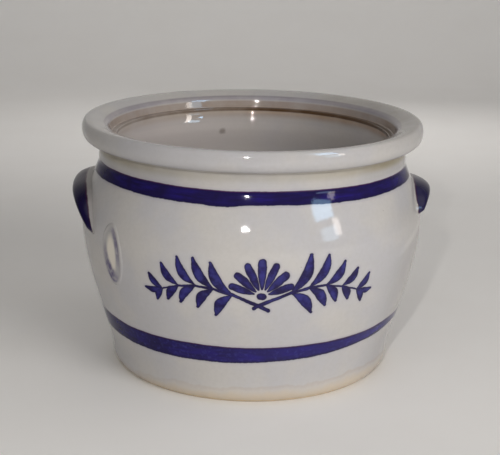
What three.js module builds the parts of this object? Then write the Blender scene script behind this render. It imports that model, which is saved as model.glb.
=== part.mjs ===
// A salt-glazed stoneware pot for pickled herrings, built from the pieces of clay that it was made
// of: a thrown body with a collared rim that takes a lid, two crescent lugs luted to the shoulder and
// an oval seal pressed onto the belly.
// Millimetres, +Z up. The pot stands on z = 0 and turns about the Z axis, its front faces -Y and its
// lugs lie on the X axis.

import * as THREE from 'three';
import { mergeVertices } from 'three/addons/utils/BufferGeometryUtils.js';

const { degToRad, lerp, smoothstep } = THREE.MathUtils;

// Body, from the table up
const FOOT_RADIUS = 80.2;
const FOOT_FLARE = 3.6;
const FOOT_EDGE_RISE = 3;
const FOOT_ROUND = 7.5;
const BELLY_RADIUS = 100.6;
const BELLY_HEIGHT = 88;
const NECK_RADIUS = 90.3;
const SHOULDER_RISE = 33.5;
const NECK_RISE = 9;
const WALL_THICKNESS = 8;
const BASE_THICKNESS = 9;
const FLOOR_COVE = 18;

// Collar round the mouth, from the neck outwards, over its crest and down to the seat for a lid
const COLLAR_HEIGHT = 14.8;
const COLLAR_OVERHANG = 9.3;
const COLLAR_COVE_WIDTH = 4.1;
const COLLAR_COVE_RISE = 3;
const BULGE_RISE = 9.1;
const CREST_INSET = 2.9;
const CREST_ROUND = 6.4;
const TOP_FALL = 3.4;
const RECESS_ROUND = 2.2;
const RECESS_DEPTH = 5.9;
const RECESS_TAPER = 1.2;
const LID_SEAT_WIDTH = 2.6;
const EDGE_ROUND = 0.8;
const THROAT_LIP = 2.7;
const THROAT_LENGTH = 3.5;

// Lugs, which arch along the shoulder and point their tips down. Each was set in place by hand.
const LUG_HALF_SPAN = 44.5;
const LUG_HEIGHT = 21.8;
const LUG_CROWN_WIDTH = 10.5;
const LUG_PROTRUSION = 8.7;
const LUG_TIP_WIDTH = 3.5;
const LUG_TIP_PROTRUSION = 0.9;
const LUG_LEAN = degToRad(6);
const LEFT_LUG_DROP = 9.7;
const RIGHT_LUG_DROP = 11.4;

// Seal, an upright oval with a raised border, a groove and a bare field
const SEAL_AZIMUTH = degToRad(-55.4);
const SEAL_DROP = 8.5;
const SEAL_WIDTH = 19;
const SEAL_HEIGHT = 36.5;
const SEAL_EDGE_HEIGHT = 0.5;
const BORDER_WIDTH = 3;
const BORDER_HEIGHT = 1.8;
const GROOVE_WIDTH = 0.8;
const GROOVE_HEIGHT = 0.6;
const FIELD_BANK = 0.8;
const FIELD_HEIGHT = 1.4;

// Film of slip between the wall and a piece that is luted to it
const LUTING_GAP = 0.3;

// Shapes of the curves, as pure numbers: how soon the wall flares above the foot, how sharply the
// shoulder meets the neck, how full the collar's turns are, and how a lug arches, tapers and rounds
const WALL_FLARE = 0.78;
const SHOULDER_KINK = 1.1;
const COLLAR_FULLNESS = 0.58;
const LUG_ARCH = 3.3;
const LUG_TAPER = 3.4;
const LUG_ROUNDING = 1.5;

// Fineness of the faceted surfaces
const POT_SEGMENTS = 64;
const WALL_STEPS = 10;
const SHOULDER_STEPS = 6;
const CURVE_STEPS = 4;
const LUG_STATIONS = 24;
const LUG_FRONT_STEPS = 14;
const LUG_BACK_STEPS = 4;
const SEAL_SEGMENTS = 32;
const SEAL_BACK_RINGS = 4;
const BORDER_STEPS = 4;
const FIELD_RINGS = 2;
const WELD_DISTANCE = 1e-3;

const neckHeight = BELLY_HEIGHT + SHOULDER_RISE;
const collarHeight = neckHeight + NECK_RISE;
const potHeight = collarHeight + COLLAR_HEIGHT;
const innerNeckRadius = NECK_RADIUS - WALL_THICKNESS;
const heelRadius = FOOT_RADIUS + FOOT_FLARE;

// Radius of the outer wall at a height above the table.
function wallRadius(z) {
  if (z <= FOOT_ROUND) {
    return heelRadius;
  }
  if (z <= BELLY_HEIGHT) {
    const rise = (z - FOOT_ROUND) / (BELLY_HEIGHT - FOOT_ROUND);
    return lerp(heelRadius, BELLY_RADIUS, smoothstep(rise ** WALL_FLARE, 0, 1));
  }
  const rise = Math.min((z - BELLY_HEIGHT) / SHOULDER_RISE, 1);
  const ease = smoothstep(rise, 0, 1) - SHOULDER_KINK * rise ** 2 * (1 - rise);
  return lerp(BELLY_RADIUS, NECK_RADIUS, ease);
}

// Outline of the outer side from the centre of the base to the top of the shoulder.
function outerOutline() {
  const outline = new THREE.Path();
  outline.moveTo(0, 0);
  outline.lineTo(FOOT_RADIUS, 0);
  outline.quadraticCurveTo(heelRadius, FOOT_EDGE_RISE, heelRadius, FOOT_ROUND);
  const points = outline.getPoints(CURVE_STEPS);
  for (let step = 1; step <= WALL_STEPS; step += 1) {
    const z = lerp(FOOT_ROUND, BELLY_HEIGHT, step / WALL_STEPS);
    points.push(new THREE.Vector2(wallRadius(z), z));
  }
  for (let step = 1; step <= SHOULDER_STEPS; step += 1) {
    const z = lerp(BELLY_HEIGHT, neckHeight, step / SHOULDER_STEPS);
    points.push(new THREE.Vector2(wallRadius(z), z));
  }
  return points;
}

// Outline of the collar from the neck over the crest, down to the lid seat and through the throat.
function collarOutline() {
  const coveRadius = NECK_RADIUS + COLLAR_COVE_WIDTH;
  const undersideHeight = collarHeight + COLLAR_COVE_RISE;
  const rimRadius = NECK_RADIUS + COLLAR_OVERHANG;
  const bulgeHeight = collarHeight + BULGE_RISE;
  const crestRadius = rimRadius - CREST_INSET;
  const throatRadius = innerNeckRadius - THROAT_LIP;
  const seatRadius = throatRadius + EDGE_ROUND + LID_SEAT_WIDTH;
  const recessRadius = seatRadius + RECESS_TAPER;
  const recessHeight = potHeight - TOP_FALL;
  const seatHeight = recessHeight - RECESS_DEPTH;
  const crestTurn = new THREE.Vector2(crestRadius - 0.5 * CREST_ROUND, potHeight);
  const recessTurn = new THREE.Vector2(recessRadius, recessHeight);
  const topStart = crestTurn.clone().lerp(recessTurn, 0.5);
  const seatTurn = new THREE.Vector2(seatRadius, seatHeight);
  const topEnd = recessTurn.clone().lerp(crestTurn, RECESS_ROUND / recessTurn.distanceTo(crestTurn));
  const recessStart = recessTurn.clone().lerp(seatTurn, RECESS_ROUND / recessTurn.distanceTo(seatTurn));

  const outline = new THREE.Path();
  outline.moveTo(NECK_RADIUS, collarHeight);
  outline.quadraticCurveTo(NECK_RADIUS, undersideHeight, coveRadius, undersideHeight);
  outline.bezierCurveTo(
    lerp(coveRadius, rimRadius, COLLAR_FULLNESS), undersideHeight,
    rimRadius, lerp(bulgeHeight, undersideHeight, COLLAR_FULLNESS),
    rimRadius, bulgeHeight,
  );
  outline.bezierCurveTo(
    rimRadius, lerp(bulgeHeight, potHeight, COLLAR_FULLNESS),
    lerp(crestRadius, rimRadius, COLLAR_FULLNESS), potHeight,
    crestRadius, potHeight,
  );
  outline.quadraticCurveTo(crestTurn.x, crestTurn.y, topStart.x, topStart.y);
  outline.lineTo(topEnd.x, topEnd.y);
  outline.quadraticCurveTo(recessTurn.x, recessTurn.y, recessStart.x, recessStart.y);
  outline.lineTo(seatTurn.x, seatTurn.y);
  outline.lineTo(throatRadius + EDGE_ROUND, seatHeight);
  outline.quadraticCurveTo(throatRadius, seatHeight, throatRadius, seatHeight - EDGE_ROUND);
  outline.lineTo(throatRadius, seatHeight - THROAT_LENGTH);
  return outline.getPoints(CURVE_STEPS);
}

// Outline of the inside from the top of the shoulder to the centre of the floor.
function innerOutline() {
  const points = [];
  for (let step = 0; step <= SHOULDER_STEPS; step += 1) {
    const z = lerp(neckHeight, BELLY_HEIGHT, step / SHOULDER_STEPS);
    points.push(new THREE.Vector2(wallRadius(z) - WALL_THICKNESS, z));
  }
  const coveHeight = BASE_THICKNESS + FLOOR_COVE;
  for (let step = 1; step <= WALL_STEPS; step += 1) {
    const z = lerp(BELLY_HEIGHT, coveHeight, step / WALL_STEPS);
    points.push(new THREE.Vector2(wallRadius(z) - WALL_THICKNESS, z));
  }
  const coveRadius = wallRadius(coveHeight) - WALL_THICKNESS;
  const cove = new THREE.QuadraticBezierCurve(
    new THREE.Vector2(coveRadius, coveHeight),
    new THREE.Vector2(wallRadius(BASE_THICKNESS) - WALL_THICKNESS, BASE_THICKNESS),
    new THREE.Vector2(coveRadius - FLOOR_COVE, BASE_THICKNESS),
  );
  points.push(...cove.getPoints(CURVE_STEPS).slice(1));
  points.push(new THREE.Vector2(0, BASE_THICKNESS));
  return points;
}

function potGeometry() {
  const outline = [...outerOutline(), ...collarOutline(), ...innerOutline()];
  const turned = new THREE.LatheGeometry(outline, POT_SEGMENTS);
  turned.rotateX(Math.PI / 2);
  turned.deleteAttribute('normal');
  turned.deleteAttribute('uv');
  const geometry = mergeVertices(turned, WELD_DISTANCE);
  geometry.computeVertexNormals();
  return geometry;
}

// A point near the wall: along and up are measured on the wall from an azimuth, which runs from the
// front of the pot towards +X, and a height. proud is the distance from the wall.
function onWall(azimuth, height, along, up, proud) {
  const angle = azimuth + along / BELLY_RADIUS;
  const z = height + up;
  const radius = wallRadius(z) + proud;
  return new THREE.Vector3(radius * Math.sin(angle), -radius * Math.cos(angle), z);
}

// A closed skin over rings of points, drawn together at a first and a last pole.
function loft(firstPole, rings, lastPole) {
  const count = rings[0].length;
  const points = [firstPole, ...rings.flat(), lastPole];
  const last = points.length - 1;
  const triangles = [];
  const at = (ring, step) => 1 + ring * count + (step % count);
  for (let step = 0; step < count; step += 1) {
    triangles.push(0, at(0, step + 1), at(0, step));
    triangles.push(last, at(rings.length - 1, step), at(rings.length - 1, step + 1));
    for (let ring = 0; ring + 1 < rings.length; ring += 1) {
      triangles.push(at(ring, step), at(ring, step + 1), at(ring + 1, step + 1));
      triangles.push(at(ring, step), at(ring + 1, step + 1), at(ring + 1, step));
    }
  }
  const geometry = new THREE.BufferGeometry().setFromPoints(points);
  geometry.setIndex(triangles);
  geometry.computeVertexNormals();
  return geometry;
}

// Section of a lug across its arch, as a closed ring: x runs from the arch's hollow side to its outer
// side, y is the distance from the wall. The flat back lies on the wall.
function lugSection(width, protrusion) {
  const ring = [];
  for (let step = 0; step <= LUG_FRONT_STEPS; step += 1) {
    const turn = (Math.PI * step) / LUG_FRONT_STEPS;
    const proud = protrusion * Math.sin(turn) ** LUG_ROUNDING;
    ring.push(new THREE.Vector2(0.5 * width * Math.cos(turn), proud));
  }
  for (let step = 1; step < LUG_BACK_STEPS; step += 1) {
    ring.push(new THREE.Vector2(width * (step / LUG_BACK_STEPS - 0.5), 0));
  }
  return ring;
}

// One lug: sections strung along an arch on the wall, full at the crown and drawn out at the tips.
// Seen from outside, both lugs lean a little to the right.
function lugGeometry(azimuth, drop) {
  const crownHeight = neckHeight - drop - 0.5 * LUG_CROWN_WIDTH;
  const archRise = LUG_HEIGHT - 0.5 * LUG_CROWN_WIDTH;
  const archHalfSpan = LUG_HALF_SPAN - 0.5 * LUG_TIP_WIDTH;
  const crown = new THREE.Vector2(0, 0);
  const place = (along, up, proud) => {
    const leaning = new THREE.Vector2(along, up).rotateAround(crown, -LUG_LEAN);
    return onWall(azimuth, crownHeight, leaning.x, leaning.y, LUTING_GAP + proud);
  };
  const rings = [];
  for (let station = 0; station <= LUG_STATIONS; station += 1) {
    const share = -Math.cos((Math.PI * station) / LUG_STATIONS);
    const reach = Math.abs(share);
    const along = archHalfSpan * share;
    const up = -archRise * reach ** LUG_ARCH;
    const steepness = (LUG_ARCH * archRise * reach ** (LUG_ARCH - 1)) / archHalfSpan;
    const outward = new THREE.Vector2(Math.sign(share) * steepness, 1).normalize();
    const fullness = 1 - reach ** LUG_TAPER;
    const width = lerp(LUG_TIP_WIDTH, LUG_CROWN_WIDTH, fullness);
    const protrusion = lerp(LUG_TIP_PROTRUSION, LUG_PROTRUSION, fullness);
    rings.push(lugSection(width, protrusion).map(
      (point) => place(along + outward.x * point.x, up + outward.y * point.x, point.y),
    ));
  }
  const tipMiddle = 0.5 * LUG_TIP_PROTRUSION;
  const firstTip = place(-archHalfSpan, -archRise, tipMiddle);
  const lastTip = place(archHalfSpan, -archRise, tipMiddle);
  return loft(firstTip, rings, lastTip);
}

// The seal: oval rings from the middle of its back, round its edge, over its border and groove, to
// the middle of its field.
function sealGeometry() {
  const height = BELLY_HEIGHT - SEAL_DROP;
  const at = (along, up, proud) => onWall(SEAL_AZIMUTH, height, along, up, LUTING_GAP + proud);
  const oval = (inset, proud, share) => {
    const ring = [];
    for (let step = 0; step < SEAL_SEGMENTS; step += 1) {
      const turn = (2 * Math.PI * step) / SEAL_SEGMENTS;
      const along = share * (0.5 * SEAL_WIDTH - inset) * Math.cos(turn);
      const up = share * (0.5 * SEAL_HEIGHT - inset) * Math.sin(turn);
      ring.push(at(along, up, proud));
    }
    return ring;
  };
  const rings = [];
  for (let ring = 1; ring <= SEAL_BACK_RINGS; ring += 1) {
    rings.push(oval(0, 0, ring / SEAL_BACK_RINGS));
  }
  for (let step = 0; step <= BORDER_STEPS; step += 1) {
    const turn = (Math.PI * step) / BORDER_STEPS;
    const inset = 0.5 * BORDER_WIDTH * (1 - Math.cos(turn));
    const footHeight = lerp(SEAL_EDGE_HEIGHT, GROOVE_HEIGHT, step / BORDER_STEPS);
    rings.push(oval(inset, lerp(footHeight, BORDER_HEIGHT, Math.sin(turn)), 1));
  }
  const grooveInset = BORDER_WIDTH + GROOVE_WIDTH;
  rings.push(oval(grooveInset, GROOVE_HEIGHT, 1));
  for (let ring = 0; ring < FIELD_RINGS; ring += 1) {
    rings.push(oval(grooveInset + FIELD_BANK, FIELD_HEIGHT, 1 - ring / FIELD_RINGS));
  }
  return loft(at(0, 0, 0), rings, at(0, 0, FIELD_HEIGHT));
}

function piece(name, geometry, color, roughness) {
  const material = new THREE.MeshStandardMaterial({ color, roughness, metalness: 0 });
  const mesh = new THREE.Mesh(geometry, material);
  mesh.name = name;
  return mesh;
}

const pot = new THREE.Group();
pot.add(piece('pot_body', potGeometry(), '#b3aea6', 0.22));
pot.add(piece('left_lug_handle', lugGeometry(degToRad(-90), LEFT_LUG_DROP), '#232a4a', 0.2));
pot.add(piece('right_lug_handle', lugGeometry(degToRad(90), RIGHT_LUG_DROP), '#232a4a', 0.2));
pot.add(piece('seal', sealGeometry(), '#b8a684', 0.3));

export default pot;
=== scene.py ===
import math

import bpy
import numpy as np
from mathutils import Matrix, Vector


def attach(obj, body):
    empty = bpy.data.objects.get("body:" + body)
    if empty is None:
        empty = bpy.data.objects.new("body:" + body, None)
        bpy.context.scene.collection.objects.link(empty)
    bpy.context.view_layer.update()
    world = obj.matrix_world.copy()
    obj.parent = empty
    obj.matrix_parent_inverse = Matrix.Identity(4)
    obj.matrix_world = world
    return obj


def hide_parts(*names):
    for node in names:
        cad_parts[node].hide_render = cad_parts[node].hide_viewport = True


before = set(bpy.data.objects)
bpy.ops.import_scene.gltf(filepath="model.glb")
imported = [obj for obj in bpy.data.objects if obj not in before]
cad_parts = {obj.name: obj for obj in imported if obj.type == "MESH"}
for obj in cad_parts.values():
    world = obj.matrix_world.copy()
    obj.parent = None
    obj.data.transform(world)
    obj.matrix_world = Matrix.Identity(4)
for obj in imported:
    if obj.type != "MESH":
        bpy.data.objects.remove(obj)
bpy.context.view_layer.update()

# The pot in millimetres, with the sizes of the CAD model. It stands on z = 0, its front faces -Y and
# azimuths run from there towards +X.
MM = 0.001
FOOT_RADIUS, FOOT_FLARE, FOOT_EDGE_RISE, FOOT_ROUND = 80.2, 3.6, 3.0, 7.5
BELLY_RADIUS, BELLY_HEIGHT = 100.6, 88.0
NECK_RADIUS, SHOULDER_RISE, NECK_RISE = 90.3, 33.5, 9.0
WALL_THICKNESS, BASE_THICKNESS, FLOOR_COVE = 8.0, 9.0, 18.0
COLLAR_HEIGHT, COLLAR_OVERHANG = 14.8, 9.3
COLLAR_COVE_WIDTH, COLLAR_COVE_RISE, BULGE_RISE = 4.1, 3.0, 9.1
CREST_INSET, CREST_ROUND, TOP_FALL = 2.9, 6.4, 3.4
RECESS_ROUND, RECESS_DEPTH, RECESS_TAPER, LID_SEAT_WIDTH = 2.2, 5.9, 1.2, 2.6
EDGE_ROUND, THROAT_LIP, THROAT_LENGTH = 0.8, 2.7, 3.5
WALL_FLARE, SHOULDER_KINK, COLLAR_FULLNESS = 0.78, 1.1, 0.58
LUG_HALF_SPAN, LUG_HEIGHT, LUG_CROWN_WIDTH, LUG_PROTRUSION = 44.5, 21.8, 10.5, 8.7
LUG_TIP_WIDTH, LUG_TIP_PROTRUSION = 3.5, 0.9
LUG_LEAN, LUG_ARCH, LUG_TAPER, LUG_ROUNDING = math.radians(6), 3.3, 3.4, 1.5
LEFT_LUG_DROP, RIGHT_LUG_DROP = 9.7, 11.4
SEAL_AZIMUTH, SEAL_DROP = math.radians(-55.4), 8.5
SEAL_WIDTH, SEAL_HEIGHT = 19.0, 36.5
BORDER_WIDTH, BORDER_HEIGHT = 3.0, 1.8
GROOVE_WIDTH, GROOVE_HEIGHT, FIELD_BANK, FIELD_HEIGHT = 0.8, 0.6, 0.8, 1.4
LUTING_GAP = 0.3

NECK_HEIGHT = BELLY_HEIGHT + SHOULDER_RISE
COLLAR_BASE = NECK_HEIGHT + NECK_RISE
POT_HEIGHT = COLLAR_BASE + COLLAR_HEIGHT
HEEL_RADIUS = FOOT_RADIUS + FOOT_FLARE

# How far the luted pieces are pressed into the wall, how much clay spreads round a lug's root, how far a
# lug's glaze stays inside the solid, and over what share of its front half a lug's tail runs out
PRESSED_IN, ROOT_SPREAD, GLAZE_SLACK, TAIL_FADE = 1.0, 0.5, 0.1, 0.1

# The share of the seal's relief that the glaze leaves, how far the seal sank in, and where its edge runs
# into the wall, off the face that it was luted to
SEAL_RELIEF, SEAL_SETTLED, SEAL_SUNK = 0.12, 0.12, -0.55

# What hand throwing left on the wall: how far it sways and ripples, the height, width and depth of a soft
# line on the shoulder, and how far inside the solid all this has to lie
WALL_SWAY, WALL_RIPPLE, RIPPLE_LENGTH = 0.16, 0.05, 23.0
SHOULDER_LINE, LINE_WIDTH, LINE_DEPTH = 112.5, 4.5, 0.27
THROWN_INSET = 0.23

POT_SEGMENTS = 256

# The pot's texture map, in mm: the sheet, the two strips, the gaps between patches and the two discs
SHEET, STRIP_START, STRIP_LENGTH, PATCH_GAP = 620.0, 10, 600, 8
DISC_RADIUS, BASE_MIDDLE, FLOOR_MIDDLE = 85, 100, 300


def ease(x):
    return x * x * (3 - 2 * x)


def wall_radius(z):
    """Radius of the outer wall at heights above the table."""
    low = np.clip((z - FOOT_ROUND) / (BELLY_HEIGHT - FOOT_ROUND), 0, 1) ** WALL_FLARE
    rise = np.clip((z - BELLY_HEIGHT) / SHOULDER_RISE, 0, 1)
    shoulder = ease(rise) - SHOULDER_KINK * rise**2 * (1 - rise)
    belly = HEEL_RADIUS + (BELLY_RADIUS - HEEL_RADIUS) * ease(low)
    return np.where(z <= BELLY_HEIGHT, belly, BELLY_RADIUS + (NECK_RADIUS - BELLY_RADIUS) * shoulder)


def bezier(steps, *points):
    """Points of a Bezier curve after its first point."""
    t = np.linspace(0, 1, steps + 1)[1:, None]
    points = [np.array(point, float) for point in points]
    while len(points) > 1:
        points = [a + t * (b - a) for a, b in zip(points, points[1:])]
    return points[0]


def straight(steps, start, end):
    return bezier(steps, start, end)


def unit(vector):
    return vector / np.hypot(*vector)


def pot_outline():
    """The pot's outline from the centre of the base, up the outside, over the collar and down the inside to
    the centre of the floor, and the first index of each stretch of it by name."""
    rim = NECK_RADIUS + COLLAR_OVERHANG
    cove = NECK_RADIUS + COLLAR_COVE_WIDTH
    underside = COLLAR_BASE + COLLAR_COVE_RISE
    bulge = COLLAR_BASE + BULGE_RISE
    crest = rim - CREST_INSET
    throat = NECK_RADIUS - WALL_THICKNESS - THROAT_LIP
    seat = throat + EDGE_ROUND + LID_SEAT_WIDTH
    recess = seat + RECESS_TAPER
    recess_height = POT_HEIGHT - TOP_FALL
    seat_height = recess_height - RECESS_DEPTH
    full = COLLAR_FULLNESS
    crest_turn = np.array([crest - 0.5 * CREST_ROUND, POT_HEIGHT])
    recess_turn = np.array([recess, recess_height])
    seat_turn = np.array([seat, seat_height])
    top_start = 0.5 * (crest_turn + recess_turn)
    top_end = recess_turn + RECESS_ROUND * unit(crest_turn - recess_turn)
    recess_start = recess_turn + RECESS_ROUND * unit(seat_turn - recess_turn)
    outer = np.linspace(FOOT_ROUND, NECK_HEIGHT, 97)[1:]
    inner = np.linspace(NECK_HEIGHT, BASE_THICKNESS + FLOOR_COVE, 73)
    inner_radius = wall_radius(inner) - WALL_THICKNESS
    floor_corner = wall_radius(np.array(BASE_THICKNESS)) - WALL_THICKNESS
    stretches = {
        "base": np.vstack([[(0, 0)], straight(16, (0, 0), (FOOT_RADIUS, 0))]),
        "foot": bezier(8, (FOOT_RADIUS, 0), (HEEL_RADIUS, FOOT_EDGE_RISE), (HEEL_RADIUS, FOOT_ROUND)),
        "wall": np.column_stack([wall_radius(outer), outer]),
        "neck": straight(8, (NECK_RADIUS, NECK_HEIGHT), (NECK_RADIUS, COLLAR_BASE)),
        "cove": bezier(10, (NECK_RADIUS, COLLAR_BASE), (NECK_RADIUS, underside), (cove, underside)),
        "lower_bulge": bezier(
            16,
            (cove, underside),
            (cove + full * (rim - cove), underside),
            (rim, bulge + full * (underside - bulge)),
            (rim, bulge),
        ),
        "upper_bulge": bezier(
            14,
            (rim, bulge),
            (rim, bulge + full * (POT_HEIGHT - bulge)),
            (crest + full * (rim - crest), POT_HEIGHT),
            (crest, POT_HEIGHT),
        ),
        "crest": bezier(8, (crest, POT_HEIGHT), crest_turn, top_start),
        "top": straight(6, top_start, top_end),
        "recess_edge": bezier(8, top_end, recess_turn, recess_start),
        "recess": straight(6, recess_start, seat_turn),
        "seat": straight(5, seat_turn, (throat + EDGE_ROUND, seat_height)),
        "throat": bezier(
            6, (throat + EDGE_ROUND, seat_height), (throat, seat_height), (throat, seat_height - EDGE_ROUND)
        ),
        "throat_wall": straight(4, (throat, seat_height - EDGE_ROUND), (throat, seat_height - THROAT_LENGTH)),
        "under_throat": straight(8, (throat, seat_height - THROAT_LENGTH), (inner_radius[0], NECK_HEIGHT)),
        "inside": np.column_stack([inner_radius, inner])[1:],
        "floor_cove": bezier(
            12,
            (inner_radius[-1], inner[-1]),
            (floor_corner, BASE_THICKNESS),
            (inner_radius[-1] - FLOOR_COVE, BASE_THICKNESS),
        ),
        "floor": straight(14, (inner_radius[-1] - FLOOR_COVE, BASE_THICKNESS), (0, BASE_THICKNESS)),
    }
    starts, count = {}, 0
    for name, points in stretches.items():
        starts[name] = count
        count += len(points)
    return np.vstack(list(stretches.values())), starts


def thrown(azimuth, z):
    """How far hand throwing leaves the wall off its true circle, in mm."""
    sway = WALL_SWAY * np.sin(2 * azimuth + 0.7) * z / POT_HEIGHT
    ripple = WALL_RIPPLE * np.sin(3 * azimuth + z / RIPPLE_LENGTH)
    line = (z - SHOULDER_LINE) / LINE_WIDTH
    shoulder = LINE_DEPTH * np.tanh(line) * np.exp(-(line**2) / 30)
    return sway + ripple - shoulder - THROWN_INSET


def mesh_piece(name, points, faces, material, node):
    """A piece that stands for a CAD node, from points in millimetres."""
    mesh = bpy.data.meshes.new(name)
    mesh.from_pydata((np.asarray(points) * MM).tolist(), [], faces)
    mesh.shade_smooth()
    mesh.materials.append(material)
    piece = bpy.data.objects.new(name, mesh)
    bpy.context.scene.collection.objects.link(piece)
    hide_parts(node)
    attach(piece, "root")
    return piece


def point_values(piece, name, values):
    attribute = piece.data.attributes.new(name, "FLOAT", "POINT")
    attribute.data.foreach_set("value", np.asarray(values, np.float32).ravel())


class Shader:
    """A glossy material and the nodes that colour it."""

    def __init__(self, name):
        self.material = bpy.data.materials.new(name)
        self.material.use_nodes = True
        self.tree = self.material.node_tree
        self.surface = self.tree.nodes["Principled BSDF"]
        coordinates = self.node("TexCoord").outputs["Object"]
        self.place = self.node("VectorMath", {0: coordinates, "Scale": 1 / MM}, operation="SCALE").outputs[0]
        parts = self.node("SeparateXYZ", {0: self.place}).outputs
        self.x, self.y, self.z = parts[0], parts[1], parts[2]

    def node(self, kind, inputs=None, **settings):
        made = self.tree.nodes.new("ShaderNode" + kind)
        for key, value in settings.items():
            setattr(made, key, value)
        for key, value in (inputs or {}).items():
            self.feed(made.inputs[key], value)
        return made

    def feed(self, socket, value):
        if isinstance(value, bpy.types.NodeSocket):
            self.tree.links.new(value, socket)
        else:
            socket.default_value = value

    def math(self, operation, *values):
        return self.node("Math", dict(enumerate(values)), operation=operation).outputs[0]

    def times(self, *values):
        result = values[0]
        for value in values[1:]:
            result = self.math("MULTIPLY", result, value)
        return result

    def plus(self, *values):
        result = values[0]
        for value in values[1:]:
            result = self.math("ADD", result, value)
        return result

    def ramp(self, low, high, value):
        inputs = {"Value": value, "From Min": low, "From Max": high}
        return self.node("MapRange", inputs, interpolation_type="SMOOTHSTEP").outputs["Result"]

    def noise(self, size, detail=2.0, stretch=None):
        """Noise from 0 to 1 with features of a size in mm, drawn out along the axes that stretch shrinks."""
        place = self.place
        if stretch:
            place = self.node("VectorMath", {0: place, 1: stretch}, operation="MULTIPLY").outputs[0]
        inputs = {"Vector": place, "Scale": 1 / size, "Detail": detail, "Roughness": 0.55}
        return self.node("TexNoise", inputs).outputs["Fac"]

    def sway(self, size, amount, detail=2.0):
        """Noise of both signs, up to about that amount."""
        return self.times(self.math("SUBTRACT", self.noise(size, detail), 0.5), 2.4 * amount)

    def mix(self, share, first, second):
        made = self.node("Mix", data_type="RGBA")
        self.feed(made.inputs[0], share)
        self.feed(made.inputs[6], first)
        self.feed(made.inputs[7], second)
        return made.outputs[2]

    def attribute(self, name):
        return self.node("Attribute", attribute_name=name).outputs["Fac"]

    def azimuth(self):
        """Degrees from the front of the pot towards +X."""
        angle = self.math("ARCTAN2", self.x, self.times(self.y, -1.0))
        return self.times(angle, math.degrees(1))

    def round_curve(self, azimuth, low, high, points):
        """A value that changes with the azimuth, by a smooth curve through points of azimuth and value."""
        made = self.node("FloatCurve", {"Value": self.node(
            "MapRange", {"Value": azimuth, "From Min": -180.0, "From Max": 180.0}
        ).outputs["Result"]})
        curve = made.mapping.curves[0]
        spots = [((angle + 180) / 360, (value - low) / (high - low)) for angle, value in points]
        curve.points[0].location = spots[0]
        curve.points[1].location = spots[-1]
        for spot in spots[1:-1]:
            curve.points.new(*spot)
        made.mapping.update()
        return self.node(
            "MapRange", {"Value": made.outputs[0], "To Min": low, "To Max": high}
        ).outputs["Result"]

    def bump(self, height, distance, strength=1.0, normal=None):
        inputs = {"Height": height, "Distance": distance * MM, "Strength": strength}
        if normal:
            inputs["Normal"] = normal
        return self.node("Bump", inputs).outputs["Normal"]

    def finish(self, colour, roughness, normal):
        self.feed(self.surface.inputs["Base Color"], colour)
        self.feed(self.surface.inputs["Roughness"], roughness)
        self.feed(self.surface.inputs["Normal"], normal)
        self.surface.inputs["IOR"].default_value = 1.5
        return self.material


def shade(red, green, blue):
    """A colour given in screen values of 0 to 255, as a shader takes it."""
    linear = [((v / 255 + 0.055) / 1.055) ** 2.4 if v > 10 else v / 255 / 12.92 for v in (red, green, blue)]
    return (*linear, 1.0)


# Colours of the glaze, the cobalt and what the firing left on the clay, and of painted light, shade and sheen
WARM_GREY = shade(199, 195, 191)
COOL_GREY = shade(191, 189, 191)
MOTTLE_GREY = shade(180, 176, 171)
DEEP_COBALT = shade(15, 2, 60)
BRIGHT_COBALT = shade(31, 16, 122)
THIN_COBALT = shade(58, 60, 146)
WEAR_AND_SHEEN_COBALT = shade(66, 64, 100)
VIOLET = shade(82, 26, 82)
LUG_COBALT = shade(14, 5, 34)
LUG_VIOLET = shade(64, 22, 52)
GREY_TONE_AND_SHADE = shade(146, 142, 140)
LILAC = shade(150, 144, 172)
FLASH_TAN = shade(213, 191, 157)
TIDE_TAN = shade(178, 152, 128)
FOOT_BROWN = shade(208, 181, 138)
OLIVE_BROWN = shade(150, 138, 104)
CROWN_SHADE_GREY = shade(146, 140, 130)
INSIDE_LIT_PINK = shade(214, 205, 201)
RECESS_BROWN = shade(146, 126, 112)
SEAT_BROWN = shade(84, 62, 42)
STAIN_BROWN = shade(166, 140, 115)
EDGE_PURPLE = shade(122, 112, 124)
CREAM_CLAY = shade(228, 221, 208)
IRON = shade(88, 70, 56)
POOLED_COBALT = shade(74, 64, 112)
FLOOR_PALE = shade(250, 248, 245)
FLOOR_GREY = shade(246, 243, 239)


def glaze_colour(shader):
    """The grey salt glaze, clouded, with fine iron specks."""
    clouds = shader.ramp(0.35, 0.65, shader.noise(38.0, 3.0))
    colour = shader.mix(clouds, WARM_GREY, COOL_GREY)
    mottle = shader.ramp(0.3, 0.75, shader.noise(2.2, 3.0))
    colour = shader.mix(shader.times(mottle, 0.2), colour, MOTTLE_GREY)
    specks = shader.node("TexVoronoi", {"Vector": shader.place, "Scale": 1 / 5.5}).outputs["Distance"]
    speck = shader.times(shader.ramp(0.07, 0.03, specks), shader.ramp(0.55, 0.7, shader.noise(26.0)))
    return shader.mix(shader.times(speck, 0.45), colour, IRON)


def glaze_relief(shader):
    """The faint orange peel of salt glaze over the soft swell of the throwing."""
    swell = shader.bump(shader.noise(17.0, 1.0, stretch=(0.35, 0.35, 1.0)), 0.1)
    return shader.bump(shader.noise(1.3, 2.0), 0.018, normal=swell)


def cobalt_colour(shader, depth, evenness_and_left_shade, brightness):
    """Brushed cobalt: dark where it gathered at the edge of a stroke, brighter and streaked within.
    depth is the distance inside the edge in mm."""
    streaks = shader.noise(1.7, 3.0, stretch=(0.12, 0.12, 1.0))
    pools = shader.noise(13.0, 2.0)
    thin = shader.times(shader.ramp(0.25, 0.7, streaks), shader.ramp(0.2, 0.65, pools))
    thin = shader.plus(shader.times(thin, brightness), evenness_and_left_shade)
    return shader.mix(shader.times(thin, shader.ramp(0.2, 2.4, depth)), DEEP_COBALT, BRIGHT_COBALT)


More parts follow.
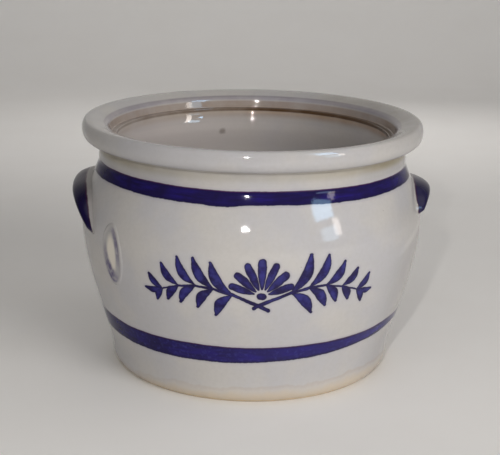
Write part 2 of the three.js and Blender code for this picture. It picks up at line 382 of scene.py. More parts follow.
# Edges of the two brushed bands: heights in mm at azimuths in degrees
UPPER_TOP = [(-180, 122.8), (-120, 123.3), (-60, 123.3), (-30, 123.0), (-14, 122.7), (0, 122.9), (30, 122.3),
             (60, 122.1), (120, 122.4), (180, 122.8)]
UPPER_BOTTOM = [(-180, 115.0), (-110, 115.6), (-63, 115.7), (-40, 115.2), (-24, 115.0), (-16, 114.5),
                (-10, 115.2), (-4, 115.6), (10, 115.4), (26, 114.9), (60, 114.8), (120, 115.6), (180, 115.0)]
LOWER_TOP = [(-180, 37.2), (-120, 37.9), (-65, 37.6), (-50, 36.6), (-25, 36.5), (0, 36.3), (18, 36.6),
             (39, 37.3), (56, 38.8), (75, 38.6), (120, 37.4), (180, 37.2)]
LOWER_BOTTOM = [(-180, 27.8), (-120, 27.4), (-65, 25.9), (-45, 25.2), (-20, 25.5), (0, 26.4), (18, 27.7),
                (34, 29.7), (48, 31.5), (60, 33.4), (75, 34.2), (120, 30.4), (180, 27.8)]


def band(shader, azimuth, top, bottom):
    """Depths of a place inside a band: below its upper edge, and inside whichever edge is nearer."""
    low, high = min(v for _, v in bottom) - 2, max(v for _, v in top) + 2
    hand = shader.plus(shader.sway(16.0, 0.3), shader.sway(2.0, 0.12))
    upper = shader.plus(shader.round_curve(azimuth, low, high, top), hand)
    grain = shader.plus(shader.sway(9.0, 0.3), shader.sway(1.1, 0.3))
    lower = shader.plus(shader.round_curve(azimuth, low, high, bottom), grain)
    below_top = shader.math("SUBTRACT", upper, shader.z)
    above_bottom = shader.math("SUBTRACT", shader.z, lower)
    return below_top, shader.math("MINIMUM", below_top, above_bottom)


# Brushed sprig on the front of the belly, in mm from its middle: the flower's foot and petals, and the reach
# of the stems to either side
SPRIG_AZIMUTH, SPRIG_HEIGHT = -2.3, 76.5
FLOWER_FOOT, PETALS, PETAL_START, PETAL_LENGTH, PETAL_SHORTENING = -8.0, 7, 4.2, 19.0, 0.9
STEM_START, STEM_FOOT, STEM_REACH, STEM_RISE, STEM_LEAVES = -4.0, -16.0, 60.0, 12.0, 6


def sprig_strokes():
    """Brush strokes of a flower with a leafy stem to either side: start, end, width at the start, how much
    they widen to the end and swell in the middle, and how far they bend there, by their length."""
    strokes = []
    for petal in range(PETALS):
        turn = math.radians(18 + 24 * petal)
        length = PETAL_LENGTH - PETAL_SHORTENING * abs(petal - PETALS // 2)
        start, end = ((r * math.cos(turn), FLOWER_FOOT + r * math.sin(turn)) for r in (PETAL_START, length))
        strokes.append((start, end, 0.7, 1.5, 0.8, 0.0))
    strokes.append(((-0.7, -8.3), (0.7, -8.6), 2.1, 0.0, 0.0, 0.0))
    for side in (-1, 1):
        stem = []
        for step in range(STEM_LEAVES + 1):
            t = step / STEM_LEAVES
            height = STEM_FOOT + STEM_RISE * math.sin(2.5 * t + 0.06 * side)
            stem.append((side * (STEM_START + STEM_REACH * t), height))
        for step, (start, end) in enumerate(zip(stem, stem[1:])):
            strokes.append((start, end, 1.3 - 0.12 * step, -0.12, 0.0, 0.0))
        for step, (x, y) in enumerate(stem[2:]):
            hand = math.sin(5 * step + 2 * side)
            upper = (60 - 4 * step + 4 * hand, 22.0 - 2.6 * step, -0.13)
            lower = (-50 - 1.5 * step + 5 * hand, 16.5 - 1.9 * step, 0.13)
            for lean, length, bend in (upper, lower):
                turn = math.radians(lean)
                reach = length + 1.3 * hand
                start = (x + side * 0.8 * math.cos(turn), y + 0.8 * math.sin(turn))
                end = (x + side * reach * math.cos(turn), y + reach * math.sin(turn))
                strokes.append((start, end, 0.6, 0.4, 2.3 - 0.2 * step, side * bend))
        x, y = stem[-1]
        strokes.append(((x + side, y), (x + side * 11.5, y - 1.5), 0.6, 0.1, 1.2, -0.1 * side))
    return strokes


def stroke_group():
    """Nodes that measure how deep inside a brush stroke a place lies."""
    group = bpy.data.node_groups.new("brush_stroke", "ShaderNodeTree")
    for name in ("Place", "Start", "Run"):
        group.interface.new_socket(name, in_out="INPUT", socket_type="NodeSocketVector")
    for name in ("Width", "Widening", "Swell", "Bend"):
        group.interface.new_socket(name, in_out="INPUT", socket_type="NodeSocketFloat")
    group.interface.new_socket("Depth", in_out="OUTPUT", socket_type="NodeSocketFloat")
    given = group.nodes.new("NodeGroupInput").outputs
    result = group.nodes.new("NodeGroupOutput").inputs

    def make(kind, operation, *inputs, output=0, scale=None):
        node = group.nodes.new("ShaderNode" + kind)
        node.operation = operation
        if scale:
            group.links.new(scale, node.inputs["Scale"])
        for number, value in enumerate(inputs):
            if isinstance(value, (float, tuple)):
                node.inputs[number].default_value = value
            else:
                group.links.new(value, node.inputs[number])
        return node.outputs[output]

    away = make("VectorMath", "SUBTRACT", given["Place"], given["Start"])
    along = make("VectorMath", "DOT_PRODUCT", away, given["Run"], output="Value")
    square = make("VectorMath", "DOT_PRODUCT", given["Run"], given["Run"], output="Value")
    share = make("Math", "MINIMUM", make("Math", "MAXIMUM", make("Math", "DIVIDE", along, square), 0.0), 1.0)
    to_end = make("Math", "SUBTRACT", 4.0, make("Math", "MULTIPLY", share, 4.0))
    hump = make("Math", "MULTIPLY", share, to_end)
    covered = make("VectorMath", "SCALE", given["Run"], scale=share)
    nearest = make("VectorMath", "ADD", given["Start"], covered)
    across = make("VectorMath", "CROSS_PRODUCT", given["Run"], (0.0, 0.0, -1.0))
    bend = make("Math", "MULTIPLY", hump, given["Bend"])
    nearest = make("VectorMath", "ADD", nearest, make("VectorMath", "SCALE", across, scale=bend))
    distance = make("VectorMath", "DISTANCE", given["Place"], nearest, output="Value")
    width = make("Math", "MULTIPLY_ADD", share, given["Widening"], given["Width"])
    width = make("Math", "MULTIPLY_ADD", hump, given["Swell"], width)
    group.links.new(make("Math", "SUBTRACT", width, distance), result["Depth"])
    return group


def sprig(shader, azimuth):
    """How deep inside the sprig's strokes a place lies, in mm."""
    along = shader.times(shader.math("SUBTRACT", azimuth, SPRIG_AZIMUTH), math.radians(BELLY_RADIUS))
    up = shader.math("SUBTRACT", shader.z, SPRIG_HEIGHT)
    along = shader.plus(along, shader.sway(8.0, 0.6), shader.sway(1.2, 0.16))
    up = shader.plus(up, shader.sway(7.0, 0.6), shader.sway(1.5, 0.16))
    place = shader.node("CombineXYZ", {0: along, 1: up}).outputs[0]
    group = stroke_group()
    depth = -100.0
    for start, end, width, widening, swell, bend in sprig_strokes():
        made = shader.node("Group", node_tree=group)
        shader.feed(made.inputs["Place"], place)
        made.inputs["Start"].default_value = (*start, 0)
        made.inputs["Run"].default_value = (end[0] - start[0], end[1] - start[1], 0)
        made.inputs["Width"].default_value = width
        made.inputs["Widening"].default_value = widening
        made.inputs["Swell"].default_value = swell
        made.inputs["Bend"].default_value = bend
        depth = shader.math("SMOOTH_MAX", depth, made.outputs["Depth"], 0.4)
    return depth


# What the firing did round the pot, at azimuths in degrees: how high its flash reached over the foot and how
# much it browned the lid seat; and how much painted shade darkens the neck, the groove under the collar,
# which is also olive brown, and the top of the rim
FLASH_REACH = [(-180, 0.45), (-90, 0.3), (-48, 0.36), (-24, 0.6), (10, 0.62), (45, 0.75), (100, 0.6),
               (180, 0.45)]
NECK_SHADE_AND_BROWNING = [(-180, 1.3), (-100, 1.7), (-50, 1.3), (-10, 0.7), (30, 1.1), (60, 2.0), (110, 1.8),
                 (180, 1.3)]
CROWN_SHADING = [(-180, 0.1), (-150, 0.15), (-110, 0.5), (-80, 0.6), (-30, 0.15), (30, 0.3), (80, 1.4),
                  (120, 1.3), (155, 0.35), (180, 0.1)]
SEAT_BROWNING = [(-180, 0.9), (-140, 0.7), (-90, 0.5), (0, 0.8), (90, 1.3), (140, 1.25), (180, 0.9)]

# An iron spot on the inside of the back wall, and the streak at the edge of the painted shade on the belly
# below the right lug: its height at the front, if it ran on to there, and its rise by degree
IRON_SPOT = (-11.7, 81.9, 120.3)
STREAK_HEIGHT, STREAK_RISE = 51.5, 0.58

# Glaze that ran together under the lid seat: between these heights it leans back more than this slope, which
# it has at both. Its run is slightly aslant.
RUN_LOW, RUN_HIGH, RUN_SLOPE, RUN_CURVE, RUN_TURN = 128.5, 132.8, 0.25, 0.014, 0.03


def kiln_marks_and_painted_light(shader, colour, azimuth, outside):
    """What the kiln left: a tan flash over the foot with a tide line, brown where glaze runs thin or pools,
    and an iron spot; with painted light on the inside, brightest on the left, painted shade under the collar
    and on the rim's top, and a painted dark reflection on the recess edge."""
    reach = shader.round_curve(azimuth, 0, 1, FLASH_REACH)
    flash_top = shader.plus(shader.times(reach, 11.0), shader.sway(21.0, 3.6, 3.0))
    flash_top = shader.plus(flash_top, shader.sway(3.0, 0.7), 3.0)
    inside_flash = shader.math("SUBTRACT", flash_top, shader.z)
    flash = shader.times(shader.ramp(-0.4, 7.0, inside_flash), outside)
    tide = shader.times(shader.ramp(-0.8, 0.3, inside_flash), shader.ramp(2.6, 0.6, inside_flash), outside)
    colour = shader.mix(shader.times(flash, 0.55), colour, FLASH_TAN)
    colour = shader.mix(shader.times(tide, reach, 0.32), colour, TIDE_TAN)
    foot = shader.ramp(shader.plus(2.6, shader.sway(9.0, 1.4)), 0.3, shader.z)
    colour = shader.mix(shader.times(foot, 0.6), colour, FOOT_BROWN)
    # Painted light with a pink tint on the inside, brightest on the left wall, where light from the right
    # falls
    painted_light_inside = shader.math("MULTIPLY_ADD", shader.ramp(85.0, -85.0, shader.x), 0.75, 0.1)
    colour = shader.mix(shader.times(shader.attribute("inside"), painted_light_inside), colour, INSIDE_LIT_PINK)
    patchy = shader.plus(0.6, shader.times(shader.noise(11.0, 3.0), 0.7))
    # neck, groove and crown carry painted shade, the groove also olive glaze, and edge a painted dark
    # reflection
    for name, tint, round_pot in (
        ("neck", GREY_TONE_AND_SHADE, NECK_SHADE_AND_BROWNING),
        ("groove", OLIVE_BROWN, NECK_SHADE_AND_BROWNING),
        ("rim", GREY_TONE_AND_SHADE, None),
        ("crown", CROWN_SHADE_GREY, CROWN_SHADING),
        ("edge", EDGE_PURPLE, None),
        ("recess", RECESS_BROWN, None),
        ("stain", STAIN_BROWN, SEAT_BROWNING),
        ("seat", SEAT_BROWN, SEAT_BROWNING),
    ):
        share = shader.times(shader.attribute(name), patchy)
        if round_pot:
            share = shader.times(share, shader.round_curve(azimuth, 0, 2, round_pot))
        colour = shader.mix(share, colour, tint)
    spot = shader.node("VectorMath", {0: shader.place, 1: IRON_SPOT}, operation="DISTANCE").outputs["Value"]
    spot = shader.ramp(3.2, 0.8, shader.plus(spot, shader.sway(1.5, 0.8)))
    return shader.mix(shader.times(spot, 0.48), colour, IRON)


def painted_belly_shade(shader, colour, azimuth, outside):
    """Painted shade on the right of the belly below the lug, deeper under a slanting line and left out along
    a lighter streak on that line.
    """
    streak_height = shader.math("MULTIPLY_ADD", azimuth, STREAK_RISE, STREAK_HEIGHT)
    off_streak = shader.math("SUBTRACT", shader.z, streak_height)
    painted_shade = shader.times(shader.ramp(36.0, 60.0, azimuth), shader.ramp(135.0, 105.0, azimuth), outside)
    painted_shade = shader.times(painted_shade, shader.ramp(112.0, 100.0, shader.z))
    painted_shade = shader.times(painted_shade, shader.math("MULTIPLY_ADD", shader.ramp(1.0, -6.0, off_streak), 0.14, 0.2))
    streak = shader.times(shader.ramp(46.0, 54.0, azimuth), shader.ramp(76.0, 70.0, azimuth))
    streak = shader.times(streak, shader.ramp(4.0, 0.5, shader.math("ABSOLUTE", off_streak)))
    return shader.mix(shader.times(painted_shade, shader.math("SUBTRACT", 1.0, streak)), colour, GREY_TONE_AND_SHADE)


def brushwork(shader, colour, azimuth, outside):
    """Cobalt bands and a sprig, brushed on before the firing: the colour with them, and the glaze's shine,
    which they dull, more so to the left."""
    upper_top, upper = band(shader, azimuth, UPPER_TOP, UPPER_BOTTOM)
    lower_top, lower = band(shader, azimuth, LOWER_TOP, LOWER_BOTTOM)
    bands = shader.math("MAXIMUM", upper, lower)
    leaves = sprig(shader, azimuth)
    depth = shader.math("MAXIMUM", bands, leaves)
    painted = shader.times(shader.ramp(-0.15, 0.3, depth), outside)
    halo = shader.times(shader.ramp(-1.7, 0.0, depth), outside)
    from_top = shader.math("MINIMUM", shader.math("ABSOLUTE", upper_top), shader.math("ABSOLUTE", lower_top))
    edge = shader.ramp(1.0, 0.1, from_top)
    below = shader.ramp(66.0, 50.0, shader.z)
    left = shader.times(shader.ramp(10.0, -50.0, azimuth), shader.ramp(-170.0, -120.0, azimuth))
    # The lower band's cobalt is brighter, and painted darker to the left as painted shade
    evenness_and_left_shade = shader.times(below, shader.math("MULTIPLY_ADD", left, -0.28, 0.3))
    paint = cobalt_colour(shader, depth, evenness_and_left_shade, 0.6)
    flecks = shader.times(shader.ramp(0.5, 0.72, shader.noise(2.2, 3.0)), shader.ramp(0.4, 1.6, lower))
    paint = shader.mix(shader.times(flecks, 0.35), paint, THIN_COBALT)
    paint = shader.mix(shader.times(edge, shader.ramp(-0.2, 0.2, bands), 0.65), paint, VIOLET)
    thin = shader.times(shader.ramp(0.36, 0.66, shader.noise(6.0, 3.0)), shader.ramp(0.1, 1.3, leaves))
    paint = shader.mix(shader.times(thin, 0.5), paint, THIN_COBALT)
    colour = shader.mix(shader.times(halo, 0.25), colour, LILAC)
    colour = shader.mix(shader.times(painted, 0.98), colour, paint)
    dulling = shader.math("MULTIPLY_ADD", left, -0.22, -0.2)
    return colour, shader.math("MULTIPLY_ADD", painted, dulling, 0.5)


def glaze_run(shader, from_axis):
    """A coat of the glaze that ran together under the lid seat, with the lean of its surface."""
    above, below = shader.math("SUBTRACT", RUN_HIGH, shader.z), shader.math("SUBTRACT", shader.z, RUN_LOW)
    slope = shader.plus(shader.times(above, below, RUN_CURVE), shader.sway(5.0, 0.02), RUN_SLOPE)
    lean = shader.times(slope, from_axis)
    facing_x = shader.math("MULTIPLY_ADD", shader.y, -RUN_TURN, shader.times(shader.x, -1.0))
    facing_y = shader.math("MULTIPLY_ADD", shader.x, RUN_TURN, shader.times(shader.y, -1.0))
    facing = shader.node("CombineXYZ", {0: facing_x, 1: facing_y, 2: lean}).outputs[0]
    facing = shader.node("VectorMath", {0: facing}, operation="NORMALIZE").outputs[0]
    run = shader.times(shader.attribute("inside"), shader.ramp(RUN_LOW - 3.0, RUN_LOW - 0.5, shader.z))
    coat = shader.surface.inputs
    shader.feed(coat["Coat Weight"], run)
    shader.feed(coat["Coat Normal"], facing)
    coat["Coat Roughness"].default_value = 0.02
    coat["Coat IOR"].default_value = 1.75


def throwing_rings(shader, azimuth, from_axis):
    """The spiral that the thrower's fingers left on the inside, from -1 to 1."""
    turns = shader.times(shader.plus(from_axis, shader.z), 0.7)
    turns = shader.math("SUBTRACT", turns, shader.times(azimuth, math.radians(1)))
    fade = shader.times(shader.attribute("inside"), shader.ramp(104.0, 80.0, shader.z))
    return shader.times(shader.math("SINE", turns), fade)


def pot_material():
    shader = Shader("salt_glazed_stoneware")
    colour = glaze_colour(shader)
    azimuth = shader.azimuth()
    outside = shader.attribute("outside")
    colour = kiln_marks_and_painted_light(shader, colour, azimuth, outside)
    colour = painted_belly_shade(shader, colour, azimuth, outside)
    colour, shine = brushwork(shader, colour, azimuth, outside)
    roughness = shader.plus(0.03, shader.times(shader.noise(9.0, 3.0), 0.06))
    squares = shader.plus(shader.times(shader.x, shader.x), shader.times(shader.y, shader.y))
    from_axis = shader.math("SQRT", squares)
    rings = throwing_rings(shader, azimuth, from_axis)
    glaze_run(shader, from_axis)
    shader.feed(shader.surface.inputs["Specular IOR Level"], shine)
    return shader.finish(colour, roughness, shader.bump(rings, 0.1, normal=glaze_relief(shader)))


def lug_material():
    shader = Shader("cobalt_lug_glaze")
    depth = shader.plus(shader.attribute("paint_depth"), shader.sway(7.0, 0.05), shader.sway(1.3, 0.03))
    painted = shader.ramp(-0.05, 0.06, depth)
    # Wear in the paint, and a painted sheen that lightens and greys it, most on the right lug
    wear_and_sheen = shader.times(shader.ramp(0.52, 0.74, shader.noise(7.0, 3.0)), 0.2)
    wear_and_sheen = shader.plus(wear_and_sheen, shader.attribute("painted_sheen"))
    paint = shader.mix(wear_and_sheen, shader.mix(shader.noise(8.0), LUG_COBALT, DEEP_COBALT), WEAR_AND_SHEEN_COBALT)
    paint = shader.mix(shader.times(shader.ramp(0.2, 0.02, depth), 0.7), paint, LUG_VIOLET)
    # The bare root is painted grey: painted shade, most on the left lug
    root = shader.mix(shader.attribute("painted_root_shade"), glaze_colour(shader), GREY_TONE_AND_SHADE)
    colour = shader.mix(painted, root, paint)
    roughness = shader.plus(0.14, shader.times(shader.noise(9.0, 3.0), 0.16))
    shader.surface.inputs["Specular IOR Level"].default_value = 0.35
    return shader.finish(colour, roughness, glaze_relief(shader))


def seal_material():
    shader = Shader("seal_glaze")
    patches = shader.ramp(0.3, 0.6, shader.noise(4.0, 2.0))
    # The seal is painted greyer than the wall: painted shade on its raised border
    border = shader.mix(0.3, glaze_colour(shader), GREY_TONE_AND_SHADE)
    colour = shader.mix(shader.attribute("field"), border, CREAM_CLAY)
    pooled = shader.times(shader.attribute("pool"), shader.plus(0.45, shader.times(patches, 0.55)))
    colour = shader.mix(pooled, colour, POOLED_COBALT)
    roughness = shader.plus(0.14, shader.times(shader.noise(5.0, 3.0), 0.14))
    relief = shader.bump(shader.noise(2.4, 2.0), 0.12, normal=glaze_relief(shader))
    return shader.finish(colour, roughness, relief)


def between(values, start, end, fade):
    """1 from start to end, fading out over a length before and after."""
    return ease(np.clip(np.minimum(values - start, end - values) / fade + 1, 0, 1))


def make_pot():
    outline, starts = pot_outline()
    azimuth = np.linspace(0, 2 * math.pi, POT_SEGMENTS, endpoint=False)
    rings = len(outline)
    radius, height = outline[:, :1], outline[:, 1:]
    middle = np.clip(radius / FOOT_RADIUS, 0, 1)
    radii = radius + middle * thrown(azimuth[None, :], height)
    x, y = radii * np.sin(azimuth), -radii * np.cos(azimuth)
    points = np.stack([x, y, np.broadcast_to(height, radii.shape)], 2).reshape(-1, 3)
    faces = []
    for ring in range(1, rings - 2):
        for step in range(POT_SEGMENTS):
            a, b = ring * POT_SEGMENTS + step, ring * POT_SEGMENTS + (step + 1) % POT_SEGMENTS
            faces.append((a, b, b + POT_SEGMENTS, a + POT_SEGMENTS))
    first, last = 0, (rings - 1) * POT_SEGMENTS
    for step in range(POT_SEGMENTS):
        after = (step + 1) % POT_SEGMENTS
        faces.append((first, POT_SEGMENTS + after, POT_SEGMENTS + step))
        faces.append((last, last - POT_SEGMENTS + step, last - POT_SEGMENTS + after))
    used = np.r_[first, POT_SEGMENTS:last, last]
    renumber = np.zeros(len(points), int)
    renumber[used] = np.arange(len(used))
    faces = [tuple(int(renumber[corner]) for corner in face) for face in faces]
    glaze = pot_material()
    pot = mesh_piece("pot_body_glazed", points[used], faces, glaze, "pot_body")

    arc = np.r_[0, np.cumsum(np.hypot(*np.diff(outline, axis=0).T))]
    at = {name: arc[index] for name, index in starts.items()}
    masks = {
        "outside": (arc < at["crest"]).astype(float),
        "inside": between(arc, at["under_throat"], at["floor"] + FOOT_RADIUS, 3.0),
        # The groove is olive brown glaze and painted shade under the collar; the neck's grey is painted shade
        # under it
        "groove": 0.4 * between(arc, at["cove"] - 1.2, at["cove"] + 2.5, 4.5),
        "neck": 0.2 * between(arc, at["neck"] + 1.5, at["cove"], 2.0),
        "rim": 0.15 * between(arc, at["lower_bulge"], at["crest"], 3.0),
        # Painted shade on the rim's top, strongest to the right, where it slopes away from the light
        "crown": 0.5 * between(arc, at["crest"], at["recess_edge"] - 1.0, 3.0),
        # The purple on the recess edge is partly pooled glaze, partly a painted dark reflection on its
        # rounding
        "edge": 0.6 * between(arc, at["recess_edge"] - 0.5, at["recess_edge"] + 2.0, 1.4),
        "recess": 0.7 * between(arc, at["recess"] - 0.6, at["seat"], 1.0),
        "stain": 0.65 * between(arc, at["throat_wall"] - 1, at["throat_wall"] + 1, 5.5),
        "seat": 0.9 * between(arc, at["seat"], at["throat_wall"], 0.8),
    }
    for name, values in masks.items():
        point_values(pot, name, np.repeat(values, POT_SEGMENTS)[used])
    unwrap_pot(pot, arc, starts)
    return pot


def unwrap_pot(pot, arc, starts):
    """A map for the pot's textures: the outside and the inside as strips, the base and the floor as discs."""
    layer = pot.data.uv_layers.new(name="OFBake")
    corners = np.zeros(len(pot.data.loops), int)
    pot.data.loops.foreach_get("vertex_index", corners)
    points = np.zeros(len(pot.data.vertices) * 3)
    pot.data.vertices.foreach_get("co", points)
    points = points.reshape(-1, 3) / MM
    ring_of = np.r_[0, np.repeat(np.arange(1, len(arc) - 1), POT_SEGMENTS), len(arc) - 1]
    step_of = np.r_[0, np.tile(np.arange(POT_SEGMENTS), len(arc) - 2), 0]
    totals = np.zeros(len(pot.data.polygons), int)
    pot.data.polygons.foreach_get("loop_total", totals)
    face_of = np.repeat(np.arange(len(totals)), totals)
    lowest = np.full(len(totals), len(arc))
    np.minimum.at(lowest, face_of, ring_of[corners])
    crosses = np.zeros(len(totals), bool)
    np.logical_or.at(crosses, face_of, step_of[corners] == POT_SEGMENTS - 1)
    wrapped = crosses[face_of] & (step_of[corners] == 0)
    step = step_of[corners] + POT_SEGMENTS * wrapped
    along = step / POT_SEGMENTS
    depth = arc[ring_of[corners]]
    ring = lowest[face_of]
    flat = points[corners][:, :2]

    uv = np.zeros((len(corners), 2))
    outside = (ring >= starts["foot"] - 1) & (ring < starts["recess"] - 1)
    inside = (ring >= starts["recess"] - 1) & (ring < starts["floor"] - 1)
    base = ring < starts["foot"] - 1
    floor = ring >= starts["floor"] - 1
    foot, recess = arc[starts["foot"] - 1], arc[starts["recess"] - 1]
    strip = STRIP_START + STRIP_LENGTH * along
    uv[outside] = np.column_stack([strip, PATCH_GAP + depth - foot])[outside]
    inside_row = PATCH_GAP + recess - foot + PATCH_GAP
    uv[inside] = np.column_stack([strip, inside_row + depth - recess])[inside]
    disc_row = inside_row + arc[starts["floor"] - 1] - recess + PATCH_GAP + DISC_RADIUS
    uv[base] = (flat + (BASE_MIDDLE, disc_row))[base]
    uv[floor] = (flat + (FLOOR_MIDDLE, disc_row))[floor]
    layer.data.foreach_set("uv", (uv / SHEET).astype(np.float32).ravel())


def on_wall(azimuth, height, along, up, proud):
    """Points near the wall: along and up are measured on it from an azimuth and a height, proud off it."""
    angle = azimuth + along / BELLY_RADIUS
    z = height + up
    radius = wall_radius(z) + LUTING_GAP + proud
    return np.stack([radius * np.sin(angle), -radius * np.cos(angle), z], -1)


def grid_faces(rows, columns, closed):
    """Quads over a grid of points whose rows are closed rings or open lines."""
    faces = []
    for row in range(rows - 1):
        for column in range(columns if closed else columns - 1):
            after = (column + 1) % columns
            faces.append((row * columns + column, row * columns + after,
                          (row + 1) * columns + after, (row + 1) * columns + column))
    return faces


def make_lug(name, node, azimuth, drop, bare_root, bare_tail, front_end, painted_sheen, painted_root_shade, material):
    """A lug whose paint leaves part of its root and of its front tail bare, as shares of the height there,
    and whose front tail is smoothed into the wall past a share of its length."""
    stations, front, back = 120, 36, 8
    crown = NECK_HEIGHT - drop - 0.5 * LUG_CROWN_WIDTH
    rise = LUG_HEIGHT - 0.5 * LUG_CROWN_WIDTH
    half = LUG_HALF_SPAN - 0.5 * LUG_TIP_WIDTH
    share = -np.cos(np.linspace(0, math.pi, stations))[:, None]
    reach = np.abs(share)
    steepness = LUG_ARCH * rise * reach ** (LUG_ARCH - 1) / half
    norm = np.hypot(steepness, 1)
    fullness = 1 - reach**LUG_TAPER
    width = LUG_TIP_WIDTH + (LUG_CROWN_WIDTH - LUG_TIP_WIDTH) * fullness
    protrusion = LUG_TIP_PROTRUSION + (LUG_PROTRUSION - LUG_TIP_PROTRUSION) * fullness
    turn = np.linspace(0, math.pi, front + 1)
    lift = np.sin(turn) ** LUG_ROUNDING
    spread = ROOT_SPREAD * np.sign(np.cos(turn)) * (1 - np.sin(turn)) ** 3
    across = 0.5 * width * np.cos(turn) + spread * np.minimum(1, protrusion / 3)
    proud = (protrusion - GLAZE_SLACK + PRESSED_IN) * lift - PRESSED_IN
    towards_front = -math.copysign(1, azimuth) * share
    smoothed = ease(np.clip((towards_front - front_end) / TAIL_FADE, 0, 1))
    proud = proud - (proud + PRESSED_IN) * smoothed
    back_share = np.linspace(0, 1, back + 1)[1:-1]
    back_across = across[:, -1:] + (across[:, :1] - across[:, -1:]) * back_share
    across = np.hstack([across, back_across])
    proud = np.hstack([proud, np.full(back_across.shape, -PRESSED_IN)])
    along = half * share + np.sign(share) * steepness / norm * across
    up = -rise * reach**LUG_ARCH + across / norm
    lean_along = along * math.cos(LUG_LEAN) + up * math.sin(LUG_LEAN)
    lean_up = -along * math.sin(LUG_LEAN) + up * math.cos(LUG_LEAN)
    rings = on_wall(azimuth, crown, lean_along, lean_up, proud)
    columns = rings.shape[1]
    points = rings.reshape(-1, 3)
    faces = [face[::-1] for face in grid_faces(stations, columns, True)]
    faces.append(tuple(range(columns)))
    faces.append(tuple(range(len(points) - 1, len(points) - 1 - columns, -1)))
    lug = mesh_piece(name, points, faces, material, node)
    ridge = proud.max(axis=1, keepdims=True)
    bare = bare_root + (bare_tail - bare_root) * ease(np.clip((towards_front - 0.8) / 0.14, 0, 1))
    paint_depth = (proud - bare * ridge - 0.15) / protrusion
    point_values(lug, "paint_depth", np.minimum(paint_depth, 4 * (0.95 + towards_front)))
    point_values(lug, "painted_sheen", np.full(proud.shape, painted_sheen))
    point_values(lug, "painted_root_shade", np.full(proud.shape, painted_root_shade))
    return lug


def make_seal():
    segments = 96
    height = BELLY_HEIGHT - SEAL_DROP
    turn = np.linspace(0, 2 * math.pi, segments, endpoint=False)
    bank = BORDER_WIDTH + GROOVE_WIDTH
    field = bank + FIELD_BANK
    rows = [(0.0, 1.0, -PRESSED_IN)]
    for step in np.linspace(0, math.pi, 17):
        foot = SEAL_SUNK + (SEAL_RELIEF * GROOVE_HEIGHT - SEAL_SUNK) * ease(step / math.pi)
        lift = foot + (SEAL_RELIEF * BORDER_HEIGHT - foot) * math.sin(step) ** 2
        rows.append((0.5 * BORDER_WIDTH * (1 - math.cos(step)), 1.0, lift))
    for step in np.linspace(0, 1, 6):
        lift = SEAL_RELIEF * (GROOVE_HEIGHT + (FIELD_HEIGHT - GROOVE_HEIGHT) * ease(step))
        rows.append((bank + FIELD_BANK * step, 1.0, lift))
    for share in np.linspace(1, 0, 13)[1:-1]:
        rows.append((field, share, SEAL_RELIEF * FIELD_HEIGHT))
    inset, share, lift = (np.array(column)[:, None] for column in zip(*rows))
    lift = np.maximum(lift - SEAL_SETTLED, -PRESSED_IN)
    along = share * (0.5 * SEAL_WIDTH - inset) * np.cos(turn)
    up = share * (0.5 * SEAL_HEIGHT - inset) * np.sin(turn)
    points = on_wall(SEAL_AZIMUTH, height, along, up, lift).reshape(-1, 3)
    faces = grid_faces(len(rows), segments, True)
    faces.append(tuple(range(segments))[::-1])
    faces.append(tuple(range(len(points) - segments, len(points))))
    seal = mesh_piece("seal_pressed", points, faces, seal_material(), "seal")

    # Bare cream clay in the middle of the field, and cobalt that pooled round it, most at the lower left
    inwards = inset + (1 - share) * (0.5 * SEAL_WIDTH - inset)
    low_left, up_right = (np.maximum(np.cos(turn - math.radians(angle)), 0) for angle in (238, 35))
    strength = np.maximum(low_left, 0.75 * up_right**2)
    point_values(seal, "field", between(inwards, field + 2.2, SEAL_WIDTH, 2.4) * np.ones(segments))
    point_values(seal, "pool", between(inwards, bank - 1.0, bank + 0.6 + 2.2 * low_left, 1.4) * strength)
    return seal


def make_stage():
    """A pale floor that sweeps up into a backdrop behind the pot."""
    depth, bend, tall, half = 0.9, 0.5, 2.6, 5.0
    profile = [(-4.0, 0.0), (0.0, 0.0)]
    for step in range(25):
        turn = 0.5 * math.pi * step / 24
        profile.append((depth + bend * math.sin(turn), bend * (1 - math.cos(turn))))
    profile.append((depth + bend, tall))
    points = [(x, y, z) for y, z in profile for x in (-half, half)]
    faces = [(2 * n, 2 * n + 1, 2 * n + 3, 2 * n + 2) for n in range(len(profile) - 1)]
    mesh = bpy.data.meshes.new("floor")
    mesh.from_pydata(points, [], faces)
    mesh.shade_smooth()
    shader = Shader("floor_paper")
    tone = shader.mix(shader.noise(60.0, 3.0), FLOOR_PALE, FLOOR_GREY)
    mesh.materials.append(shader.finish(tone, 0.75, shader.bump(shader.noise(1.5), 0.02)))
    floor = bpy.data.objects.new("floor", mesh)
    bpy.context.scene.collection.objects.link(floor)


# Camera at the photograph's viewing angle, round the pot from its front and above the table
IMAGE_WIDTH = 500
FOCAL_PIXELS, DISTANCE, AIM_HEIGHT = 1200, 0.7246, 0.0651
CAMERA_AZIMUTH, CAMERA_ELEVATION, CAMERA_ROLL = math.radians(-5.8), math.radians(16.86), math.radians(0.9)
SHIFT_PIXELS = (-0.85, 20.19)


def direction(azimuth, elevation):
    """Unit vector from the pot, by degrees to the camera's right and above the table."""
    turn = CAMERA_AZIMUTH + math.radians(azimuth)
    rise = math.radians(elevation)
    return Vector((math.sin(turn) * math.cos(rise), -math.cos(turn) * math.cos(rise), math.sin(rise)))


def make_camera():
    data = bpy.data.cameras.new("camera")
    data.sensor_width = 36
    data.lens = data.sensor_width * FOCAL_PIXELS / IMAGE_WIDTH
    data.shift_x, data.shift_y = SHIFT_PIXELS[0] / IMAGE_WIDTH, SHIFT_PIXELS[1] / IMAGE_WIDTH
    data.clip_start, data.clip_end = 0.01, 50
    camera = bpy.data.objects.new("camera", data)
    bpy.context.scene.collection.objects.link(camera)
    back = direction(0, math.degrees(CAMERA_ELEVATION))
    turned = back.to_track_quat("Z", "Y").to_matrix().to_4x4() @ Matrix.Rotation(CAMERA_ROLL, 4, "Z")
    camera.matrix_world = Matrix.Translation(Vector((0, 0, AIM_HEIGHT)) + back * DISTANCE) @ turned
    bpy.context.scene.camera = camera


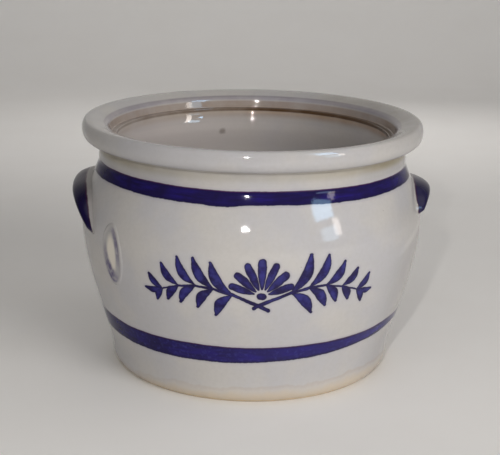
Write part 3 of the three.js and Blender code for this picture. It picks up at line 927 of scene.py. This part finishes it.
def make_light(name, azimuth, elevation, distance, size, power, colour, aim=(0, 0, AIM_HEIGHT), seen="both"):
    """A soft light at a direction and distance from the pot. It lights the clay, or is mirrored in the glaze,
    or both."""
    width, height = size
    data = bpy.data.lights.new(name, "AREA")
    data.shape = "ELLIPSE" if seen == "both" else "RECTANGLE"
    data.size, data.size_y = width, height
    data.energy = power
    data.color = colour
    light = bpy.data.objects.new(name, data)
    bpy.context.scene.collection.objects.link(light)
    light.visible_glossy = seen != "light"
    light.visible_diffuse = seen != "mirror"
    place = Vector((0, 0, AIM_HEIGHT)) + direction(azimuth, elevation) * distance
    facing = (place - Vector(aim)).to_track_quat("Z", "Y").to_matrix().to_4x4()
    light.matrix_world = Matrix.Translation(place) @ facing


def make_lights():
    daylight, lamplight = (1.0, 0.985, 0.97), (1.0, 0.985, 0.96)
    make_light("sky", 51, 36, 1.6, (0.36, 0.62), 5.8, (0.42, 0.7, 1.0), seen="mirror")
    make_light("sunlit_pane", 58, 18, 1.6, (0.13, 0.34), 1.0, (1.0, 0.91, 0.84), seen="mirror")
    make_light("lower_pane", 51.5, 14, 1.6, (0.3, 0.34), 1.2, (0.55, 0.8, 1.0), seen="mirror")
    make_light("curtain", 42, 20, 1.6, (0.9, 0.9), 11.0, daylight, seen="light")
    make_light("side_fill", 90, 50, 1.7, (1.0, 1.0), 1.6, (1.0, 0.96, 0.94))
    make_light("ceiling", -10, 72, 1.7, (1.5, 1.5), 3.3, (1.0, 0.975, 0.95))
    make_light("back_fill", 172, 22, 0.85, (0.5, 0.3), 0.7, daylight, seen="light")
    make_light("backdrop", 180, 45, 0.7, (1.2, 0.4), 1.15, daylight, aim=(0, 1.6, 0.3), seen="light")
    make_light("lamp_at_camera", -3.7, 24.7, 0.724, (0.019, 0.03), 1.2, lamplight)
    world = bpy.data.worlds.new("studio")
    world.use_nodes = True
    sky = world.node_tree.nodes["Background"]
    sky.inputs["Color"].default_value = (0.95, 0.97, 1.0, 1.0)
    sky.inputs["Strength"].default_value = 0.1
    bpy.context.scene.world = world
    bpy.context.scene.view_settings.view_transform = "Standard"


make_camera()
make_lights()
make_stage()
make_pot()
lug_glaze = lug_material()
make_lug(
    "left_lug_glazed", "left_lug_handle", math.radians(-90), LEFT_LUG_DROP,
    bare_root=0.27, bare_tail=0.27, front_end=0.92, painted_sheen=0.02, painted_root_shade=0.85, material=lug_glaze,
)
make_lug(
    "right_lug_glazed", "right_lug_handle", math.radians(90), RIGHT_LUG_DROP,
    bare_root=0.03, bare_tail=0.45, front_end=0.86, painted_sheen=0.24, painted_root_shade=0.5, material=lug_glaze,
)
make_seal()
